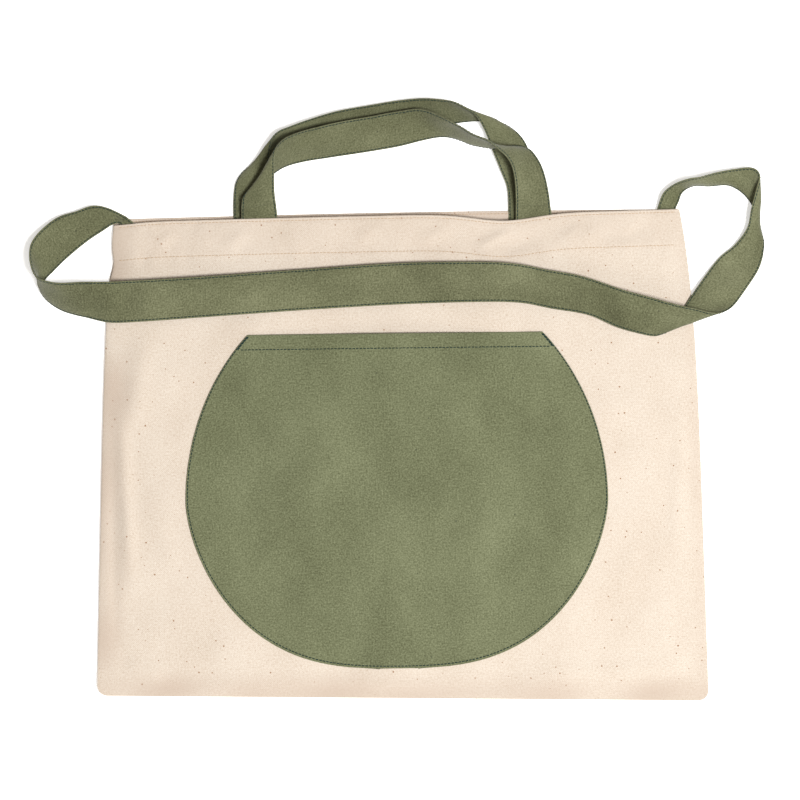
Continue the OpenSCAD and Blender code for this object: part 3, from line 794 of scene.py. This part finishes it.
def stitch_mesh(name, rows, material):
    """All the stitches of some rows as one piece."""
    centre, direction, normal, length, radius = [np.concatenate(c) for c in zip(*rows)]
    across = np.cross(direction, normal)
    count = len(centre)
    points, uv = [], []
    for t, share, lift in STITCH_RINGS:
        for k in range(STITCH_SIDES):
            a = 2 * math.pi * k / STITCH_SIDES
            sideways = share * math.cos(a)
            up = share * math.sin(a) * STITCH_FLAT + lift * STITCH_LIFT
            points.append(centre + direction * (t * length)[:, None]
                          + across * (radius * sideways)[:, None]
                          + normal * (radius * up)[:, None])
            uv.append(np.stack([np.full(count, k / STITCH_SIDES),
                                np.arange(count) * STITCH_PITCH + t * length], 1))
    points = np.stack(points, 1).reshape(-1, 3)
    uv = np.stack(uv, 1).reshape(-1, 2)
    one = tube_faces(len(STITCH_RINGS), STITCH_SIDES, flip=True)
    size = len(STITCH_RINGS) * STITCH_SIDES
    faces = [tuple(c + size * s for c in face) for s in range(count) for face in one]
    return make_object(name, points, faces, uv, material)


def surface_normals(height, x, y):
    d = PROBE
    dx = (height(x + d, y) - height(x - d, y)) / (2 * d)
    dy = (height(x, y + d) - height(x, y - d)) / (2 * d)
    return unit(np.stack([-dx, -dy, np.ones_like(dx)], -1))


def cloth_stitches(name, lines, height, material, radius):
    """Stitches along lines of x and y, lying on the surface height(x, y)."""
    rows = []
    for x, y in lines:
        points = np.stack([x, y, height(x, y)], -1)
        rows.append(stitch_row(points, surface_normals(height, x, y), radius))
    return stitch_mesh(name, rows, material)


def hem_line(edge_y, inset, count, depth):
    """A line at a depth below a mouth edge, which stops short of the side seams."""
    u = np.linspace(inset, 1 - inset, count)
    return base_x(u), edge_y(u) - depth


def back_hem_top(x, y):
    return 0 * x + 2 * HEM_R


BACK_ROW_LOWEST = 27 * MM    # the back's lower row stays on its turned layer

hem_threads = []
for row, depth in HEM_ROWS.items():
    front_line = hem_line(front_y, 0.010, 260, depth)
    front = cloth_stitches(f"front_hem_{row}_stitches", [front_line], front_top,
                           CANVAS_THREAD, CANVAS_THREAD_R)
    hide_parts(f"front_hem_{row}_thread")
    back_line = hem_line(back_y, 0.03, 200, min(depth, BACK_ROW_LOWEST))
    back = cloth_stitches(f"back_hem_{row}_stitches", [back_line], back_hem_top,
                          CANVAS_THREAD, CANVAS_THREAD_R)
    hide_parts(f"back_hem_{row}_thread")
    hem_threads += [front, back]


# ---- Pocket: round below its widest line, and an ellipse cut off by the mouth above.

POCKET_W, POCKET_DROP, POCKET_RISE = 0.352, 0.140, 0.139
POCKET_X, POCKET_Y, POCKET_TURN = -5 * MM, -35 * MM, math.radians(0.7)
POCKET_OVER = 0.195          # half height of the upper part's ellipse
POCKET_ROUND, POCKET_SAG = 2.8, 1.6
POCKET_HEM = 12.5 * MM
POCKET_EDGE = 1.3 * MM       # from the pocket's edge to its stitches
POCKET_LIFT = 4.6 * MM
POCKET_T = 0.8 * MM
POCKET_END = 0.25 * MM       # the grid stops this far above the lowest point
POCKET_HEM_R = 0.85 * MM
POCKET_TURNS = np.linspace(0, math.pi, 6)[1:]
POCKET_DEPTHS = np.array([3, 7, 10.5, 11.2]) * MM
POCKET_RIM = [(0.35 * MM, 0.0), (0.85 * MM, 0.15 * MM), (1.1 * MM, 0.9 * MM)]
POCKET_COLUMNS, POCKET_ROWS = 120, 110
POCKET_ROLLS = [(0.6 * MM, 21, 0.085), (0.35 * MM, 22, 0.038)]
POCKET_FOLD = 1.6 * MM
POCKET_STEP = 0.30 * MM      # how far the double cloth of its hem stands up
POCKET_MARGIN = 0.25 * MM    # and the turned cloth along its edge
EDGE_GROOVE, EDGE_GROOVE_W = 0.28 * MM, 1.1 * MM
STEP_GROOVE, STEP_GROOVE_W = 0.30 * MM, 1.0 * MM
POCKET_AIR = 0.4 * MM        # between the pocket's cloth and the panel along its edge
POCKET_INNER = 4 * MM        # the turned layer is narrower by this at each side
POCKET_LEAST = 0.2 * MM      # half width of the grid's lowest row
POCKET_FOLDS = [
    (-120, -60, -60, -96, 0.5, 9), (-60, -20, 20, -60, -0.35, 12), (40, -70, 130, -40, 0.45, 10),
    (-150, 30, -120, -40, 0.5, 8), (150, 40, 128, -30, 0.45, 8), (20, 40, 70, 10, 0.3, 12),
    (-80, 96, -70, 60, 0.3, 8), (60, 98, 64, 58, 0.35, 8), (0, -120, 60, -110, -0.35, 9),
    (-40, 80, 30, 88, -0.25, 10),
]
TACK_INSETS = (2.2 * MM, 2.9 * MM)
MOUTH_MARGIN = 1.5 * MM      # where the stitches stop below the pocket's mouth


def pocket_half(y):
    """Half the pocket's width at a height in its own axes."""
    fall = np.clip(-y / POCKET_DROP, 0, 1) ** POCKET_SAG
    below = POCKET_W / 2 * (1 - fall) ** (1 / POCKET_ROUND)
    above = POCKET_W / 2 * np.sqrt(1 - (np.clip(y, 0, None) / POCKET_OVER) ** 2)
    return np.where(y < 0, below, above)


def pocket_place(x, y):
    """From the pocket's own axes to the bag's."""
    c, s = math.cos(POCKET_TURN), math.sin(POCKET_TURN)
    return POCKET_X + x * c - y * s, POCKET_Y + x * s + y * c


def pocket_local(x, y):
    """From the bag's axes to the pocket's own."""
    c, s = math.cos(POCKET_TURN), math.sin(POCKET_TURN)
    dx, dy = x - POCKET_X, y - POCKET_Y
    return dx * c + dy * s, -dx * s + dy * c


def pocket_top(x, y):
    """Height of the pocket's outer face."""
    px, py = pocket_local(x, y)
    from_edge = pocket_half(py) - np.abs(px)
    from_bottom = py + POCKET_DROP
    from_mouth = POCKET_RISE - py
    near = np.minimum(from_edge, from_bottom)
    belly = step(from_edge, 2 * MM, 0.120) * step(from_bottom, 4 * MM, 0.110)
    mouth = 1 - 0.25 * step(py, 0.05, POCKET_RISE)
    groove = EDGE_GROOVE * ridge(near - POCKET_EDGE, EDGE_GROOVE_W)
    margin = POCKET_MARGIN * step(near, 6 * MM, POCKET_EDGE)
    hem = POCKET_STEP * (1 - step(from_mouth, POCKET_HEM + 0.4 * MM, POCKET_HEM + 1.6 * MM))
    hem_groove = STEP_GROOVE * ridge(from_mouth - POCKET_HEM, STEP_GROOVE_W)
    puckers = 0.10 * MM * swell(x, y, 23, 0.010) * ridge(near - POCKET_EDGE, 5 * MM)
    cloth = rolls(x, y, POCKET_ROLLS) + folds(x, y, POCKET_FOLDS, POCKET_FOLD)
    own = POCKET_T + POCKET_AIR + POCKET_LIFT * belly * mouth
    details = margin + hem + puckers - groove - hem_groove
    return front_top(x, y) + own + details + step(near, 3 * MM, 0.025) * cloth


def pocket_cloth():
    """The pocket with a rolled edge and a turned mouth hem. s runs -1 to 1 across it."""
    across = np.linspace(-1, 1, POCKET_COLUMNS + 1)
    s_line, rim = with_rims(np.sin(np.pi / 2 * across), len(POCKET_RIM))
    t = np.linspace(0, 1, POCKET_ROWS + 1)
    low = -POCKET_DROP + POCKET_END
    body = low + (POCKET_RISE - low) * (0.5 * t ** 2 + 0.5 * t)
    fold = np.full(len(POCKET_TURNS), POCKET_RISE)
    y_line = np.concatenate([body, fold, POCKET_RISE - POCKET_DEPTHS])
    inner = np.full(len(POCKET_DEPTHS), math.pi)
    turn_line = np.concatenate([np.zeros(len(body)), POCKET_TURNS, inner])
    s, y = np.meshgrid(s_line, y_line)
    level, turn = np.meshgrid(rim, turn_line)
    drops, tucks = rim_offsets(POCKET_RIM, level)
    folded = step(turn, 0, math.pi)
    x = s * np.maximum(pocket_half(y) - POCKET_INNER * folded, POCKET_LEAST)
    bx, by = pocket_place(x, y - POCKET_HEM_R)
    z = pocket_top(bx, by) - POCKET_HEM_R * (1 - np.cos(turn)) - drops * (1 - folded)
    bx = bx - tucks * np.sign(s)
    by = by + POCKET_HEM_R * np.sin(turn)
    wear_and_shade = 0.5 * (level > 0) + 0.25 * (np.sin(turn) > 0.2)
    flat = np.stack([x + drops * np.sign(s), y + folded * 0.03], -1).reshape(-1, 2)
    obj = make_object("pocket_cloth", np.stack([bx, by, z], -1).reshape(-1, 3),
                      grid_faces(*s.shape), flat, POCKET_CLOTH, wear_and_shade)
    return add_thickness(obj, POCKET_T)


def pocket_outline(inset):
    """The pocket's edge, mouth corner to mouth corner round the bottom, drawn in."""
    mouth = math.asin(POCKET_RISE / POCKET_OVER)
    angle = np.linspace(math.pi - mouth, 2 * math.pi + mouth, 900)
    c, s = np.cos(angle), np.sin(angle)
    up = s > 0
    x = POCKET_W / 2 * np.sign(c) * np.abs(c) ** np.where(up, 1, 2 / POCKET_ROUND)
    y = np.where(up, POCKET_OVER * s, -POCKET_DROP * np.abs(s) ** (2 / POCKET_SAG))
    edge = np.stack([x, y], -1)
    along = unit(np.gradient(edge, axis=0))
    inward = np.stack([-along[:, 1], along[:, 0]], -1)
    edge = edge + inward * inset
    keep = edge[:, 1] < POCKET_RISE - MOUTH_MARGIN
    return pocket_place(edge[keep, 0], edge[keep, 1])


def pocket_hem_line():
    y = POCKET_RISE - POCKET_HEM
    half = float(pocket_half(np.array(y))) - 5 * MM
    return pocket_place(np.linspace(-half, half, 120), np.full(120, y))


def tack_line(side, inset):
    """A short row of stitches up the pocket's edge from the hem, at a mouth corner."""
    y = np.linspace(POCKET_RISE - MOUTH_MARGIN, POCKET_RISE - POCKET_HEM, 30)
    return pocket_place(side * (pocket_half(y) - inset), y)


pocket = pocket_cloth()
pocket_edge = cloth_stitches("pocket_edge_stitches", [pocket_outline(POCKET_EDGE)],
                             pocket_top, GREEN_THREAD, POCKET_THREAD_R)
pocket_hem = cloth_stitches("pocket_hem_stitches", [pocket_hem_line()],
                            pocket_top, GREEN_THREAD, POCKET_HEM_THREAD_R)
pocket_tacks = []
for side_name, side in (("left", -1), ("right", 1)):
    tack = cloth_stitches(f"pocket_{side_name}_tack_stitches",
                          [tack_line(side, inset) for inset in TACK_INSETS],
                          pocket_top, GREEN_THREAD, TACK_THREAD_R)
    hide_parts(f"pocket_{side_name}_tack")
    pocket_tacks.append(tack)


# ---- Straps.

# A strap's section from one edge in: mm from the edge, and share of half its thickness.
PROFILE = [(0.0, 0.0), (0.12, 0.55), (0.35, 0.85), (0.75, 1.0), (1.1, 0.9),
           (1.5, 0.6), (2.0, 0.92), (4.0, 1.08)]
PROFILE_MIDDLE = (0.32, 0.5, 0.68)   # shares of the width, all as thick as the last above
UNDERSIDE = 0.05             # how far to the side the underside's cloth is cut from
EDGE_WEAR = 0.2
RIPPLE, DENT = 1.0 * MM, 0.28 * MM
RIPPLE_LENGTH, DENT_LENGTH = 0.036, 0.017
STITCH_SINK = 0.8            # height of the stitches' line, as a share of half


class Strap:
    """A folded and edge-stitched strap along part of a route."""

    def __init__(self, rows, seed, painted_handle_shade):
        stations = smooth_route(rows)
        self.a, self.b = stations[:, :3], stations[:, 3:]
        self.path = (self.a + self.b) / 2
        ahead = unit(np.gradient(self.path, axis=0))
        self.across = unit(self.b - self.a)
        self.facing = unit(np.cross(ahead, self.across))
        self.width = np.linalg.norm(self.b - self.a, axis=1)
        steps = np.linalg.norm(np.diff(self.path, axis=0), axis=1)
        self.along = np.concatenate([[0], np.cumsum(steps)])
        self.seed = seed
        self.painted_handle_shade = painted_handle_shade

    def ripple(self, from_a):
        """The small unevenness of the cloth, which moves both its faces."""
        share = np.clip(from_a / self.width, 0, 1)
        across = share * SHOULDER_W
        soft = RIPPLE * swell(self.along, across, self.seed, RIPPLE_LENGTH)
        dents = DENT * swell(self.along, 2 * across, self.seed + 50, DENT_LENGTH)
        return (soft + dents) * np.sin(math.pi * share) ** 0.5

    def line(self, from_a, height):
        """A line along the strap, at distances from edge A and a height off the middle."""
        lift = height + self.ripple(from_a)
        return self.a + self.across * from_a[:, None] + self.facing * lift[:, None]

    def section(self):
        """Distances from edge A of the lines across the strap, and shares of half."""
        edge = [share for _, share in PROFILE]
        from_a = [np.full(len(self.a), d * MM) for d, _ in PROFILE]
        from_a += [self.width * share for share in PROFILE_MIDDLE]
        from_a += [self.width - d * MM for d, _ in reversed(PROFILE)]
        return from_a, edge + [edge[-1]] * len(PROFILE_MIDDLE) + edge[::-1]

    def mesh(self, name):
        insets, shares = self.section()
        count = len(insets)
        points, uv, wear_and_shade = [], [], []
        for k, index in enumerate([*range(count), *range(count - 2, 0, -1)]):
            upper = k < count
            from_a = insets[index]
            height = (1 if upper else -1) * STRAP_T / 2 * shares[index]
            points.append(self.line(from_a, height))
            uv.append(np.stack([from_a + (0 if upper else UNDERSIDE), self.along], -1))
            from_edge = np.minimum(from_a, self.width - from_a)
            # Real wear lightens the edges; the handles' painted shade darkens the whole strap
            # below zero.
            wear_and_shade.append(EDGE_WEAR * (1 - step(from_edge, 0.0, 0.5 * MM)) - self.painted_handle_shade)
        points = np.stack(points, 1)
        return make_object(name, points.reshape(-1, 3), tube_faces(*points.shape[:2]),
                           np.stack(uv, 1).reshape(-1, 2), STRAP_CLOTH,
                           np.stack(wear_and_shade, 1).reshape(-1))

    def stitches(self, name):
        """A row near each edge, on both faces."""
        rows = []
        for from_a in (0 * self.width + EDGE_STITCH, self.width - EDGE_STITCH):
            for sign in (1, -1):
                line = self.line(from_a, sign * STRAP_T / 2 * STITCH_SINK)
                rows.append(stitch_row(line, sign * self.facing, STRAP_THREAD_R))
        return stitch_mesh(name, rows, GREEN_THREAD)


def strap_piece(name, rows, seed, painted_handle_shade=0.0):
    """A strap's own data, its cloth and its stitches. The last argument darkens it with painted
    shade, 0 to 1.
    """
    strap = Strap(rows, seed, painted_handle_shade)
    return strap, strap.mesh(name), strap.stitches(name + "_stitches")


FOOT_ROWS = 2                # rows of the route that belong to a front handle's foot
HANDLE_SHADE = 0.18               # painted shade on the handles, which tilt away from the overhead light
MOUTH_ROW = 2                # where the shoulder strap's left tail comes out

back_rows = tail_rows(BACK_HANDLE[0]) + BACK_HANDLE + tail_rows(BACK_HANDLE[-1])[::-1]
back_strap, back_strip, back_threads = strap_piece(
    "back_handle_strip", back_rows, 31, HANDLE_SHADE)
front_strap, front_strip, front_threads = strap_piece(
    "front_handle_strip", FRONT_HANDLE[1:-1], 32, HANDLE_SHADE)
left_rows = tail_rows(FRONT_HANDLE[0]) + FRONT_HANDLE[:FOOT_ROWS]
right_rows = FRONT_HANDLE[-FOOT_ROWS:] + tail_rows(FRONT_HANDLE[-1])[::-1]
_, left_foot, left_foot_threads = strap_piece(
    "front_handle_left_foot_strip", left_rows, 33, HANDLE_SHADE)
_, right_foot, right_foot_threads = strap_piece(
    "front_handle_right_foot_strip", right_rows, 34, HANDLE_SHADE)
long_strap, long_strip, long_threads = strap_piece(
    "shoulder_strap_strip", SHOULDER_STRAP[MOUTH_ROW:-1], 35)
_, left_tail, left_tail_threads = strap_piece(
    "shoulder_strap_left_tail", SHOULDER_STRAP[:MOUTH_ROW + 1], 36)
_, right_tail, right_tail_threads = strap_piece(
    "shoulder_strap_right_tail", SHOULDER_STRAP[-2:], 37)
feet = [left_foot, left_foot_threads, right_foot, right_foot_threads]
tails = [left_tail, left_tail_threads, right_tail, right_tail_threads]


def blend_across(pieces):
    for piece in pieces:
        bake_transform(piece)


blend_across([back_strip, back_threads])
blend_across(feet)
blend_across([front_strip, front_threads])
blend_across([long_strip, long_threads])

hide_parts("back_handle", "back_handle_left_end", "back_handle_right_end")
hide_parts("back_handle_thread")
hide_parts("front_handle")
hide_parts("front_handle_thread")
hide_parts("front_handle_left_foot", "front_handle_left_end")
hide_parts("front_handle_right_foot", "front_handle_right_end")
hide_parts("shoulder_strap", "strap_left_end", "strap_right_loop")
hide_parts("shoulder_strap_thread")
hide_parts("strap_right_end")


# ---- What moves with the bag itself, what stands for what, and what is cloth.

pocket_threads = [pocket_edge, pocket_hem, *pocket_tacks]

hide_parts("front_panel")
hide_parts("back_panel")
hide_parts("pocket")
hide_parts("pocket_edge_thread")
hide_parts("pocket_hem_thread")

for piece in [front_cloth, back_cloth, pocket, *pocket_threads, *hem_threads, *tails]:
    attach(piece, "bag")

for name in ("left_side_seam", "right_side_seam", "bottom_seam"):
    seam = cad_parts[name]
    seam.data.materials.clear()
    seam.data.materials.append(CANVAS)


# ---- Floor and light.

FLOOR_HALF = 6.0
FLOOR_DROP = 0.3 * MM        # keeps the floor clear of the cloth that lies on it
FLOOR_WHITE = (0.95, 0.95, 0.95, 1)
TABLE_GLOW = 0.45            # the table is lit from below a little
STUDIO_COLOUR, STUDIO_STRENGTH = (1.0, 0.92, 0.84, 1), 0.33
LIGHTS_AIM = (0, 0.05, 0)
# Each light's name, place, side of its square, and power in watts.
LIGHTS = [("softbox_key", (1.1, -0.45, 3.3), 0.9, 172),
          ("softbox_front", (0.4, -2.4, 1.3), 1.0, 16)]


def make_floor():
    corners = [(-1, -1), (1, -1), (1, 1), (-1, 1)]
    mesh = bpy.data.meshes.new("floor")
    mesh.from_pydata([(FLOOR_HALF * x, FLOOR_HALF * y, 0) for x, y in corners],
                     [], [(0, 1, 2, 3)])
    floor = bpy.data.objects.new("floor", mesh)
    floor.location.z = -FLOOR_DROP
    bpy.context.scene.collection.objects.link(floor)
    white = Nodes("floor").finish(
        Base_Color=FLOOR_WHITE, Roughness=0.9, Specular_IOR_Level=0.1,
        Emission_Color=(1, 1, 1, 1), Emission_Strength=TABLE_GLOW)
    mesh.materials.append(white)


def make_light(name, place, size, power):
    data = bpy.data.lights.new(name, "AREA")
    data.shape = "SQUARE"
    data.size = size
    data.energy = power
    light = bpy.data.objects.new(name, data)
    light.location = place
    direction = Vector(LIGHTS_AIM) - Vector(place)
    light.rotation_euler = direction.to_track_quat("-Z", "Y").to_euler()
    bpy.context.scene.collection.objects.link(light)


def make_world(colour, strength):
    world = bpy.data.worlds.new("studio")
    world.use_nodes = True
    world.node_tree.nodes["Background"].inputs[0].default_value = colour
    world.node_tree.nodes["Background"].inputs[1].default_value = strength
    bpy.context.scene.world = world


make_floor()
make_world(STUDIO_COLOUR, STUDIO_STRENGTH)
for light in LIGHTS:
    make_light(*light)
bpy.context.scene.view_settings.view_transform = "Standard"
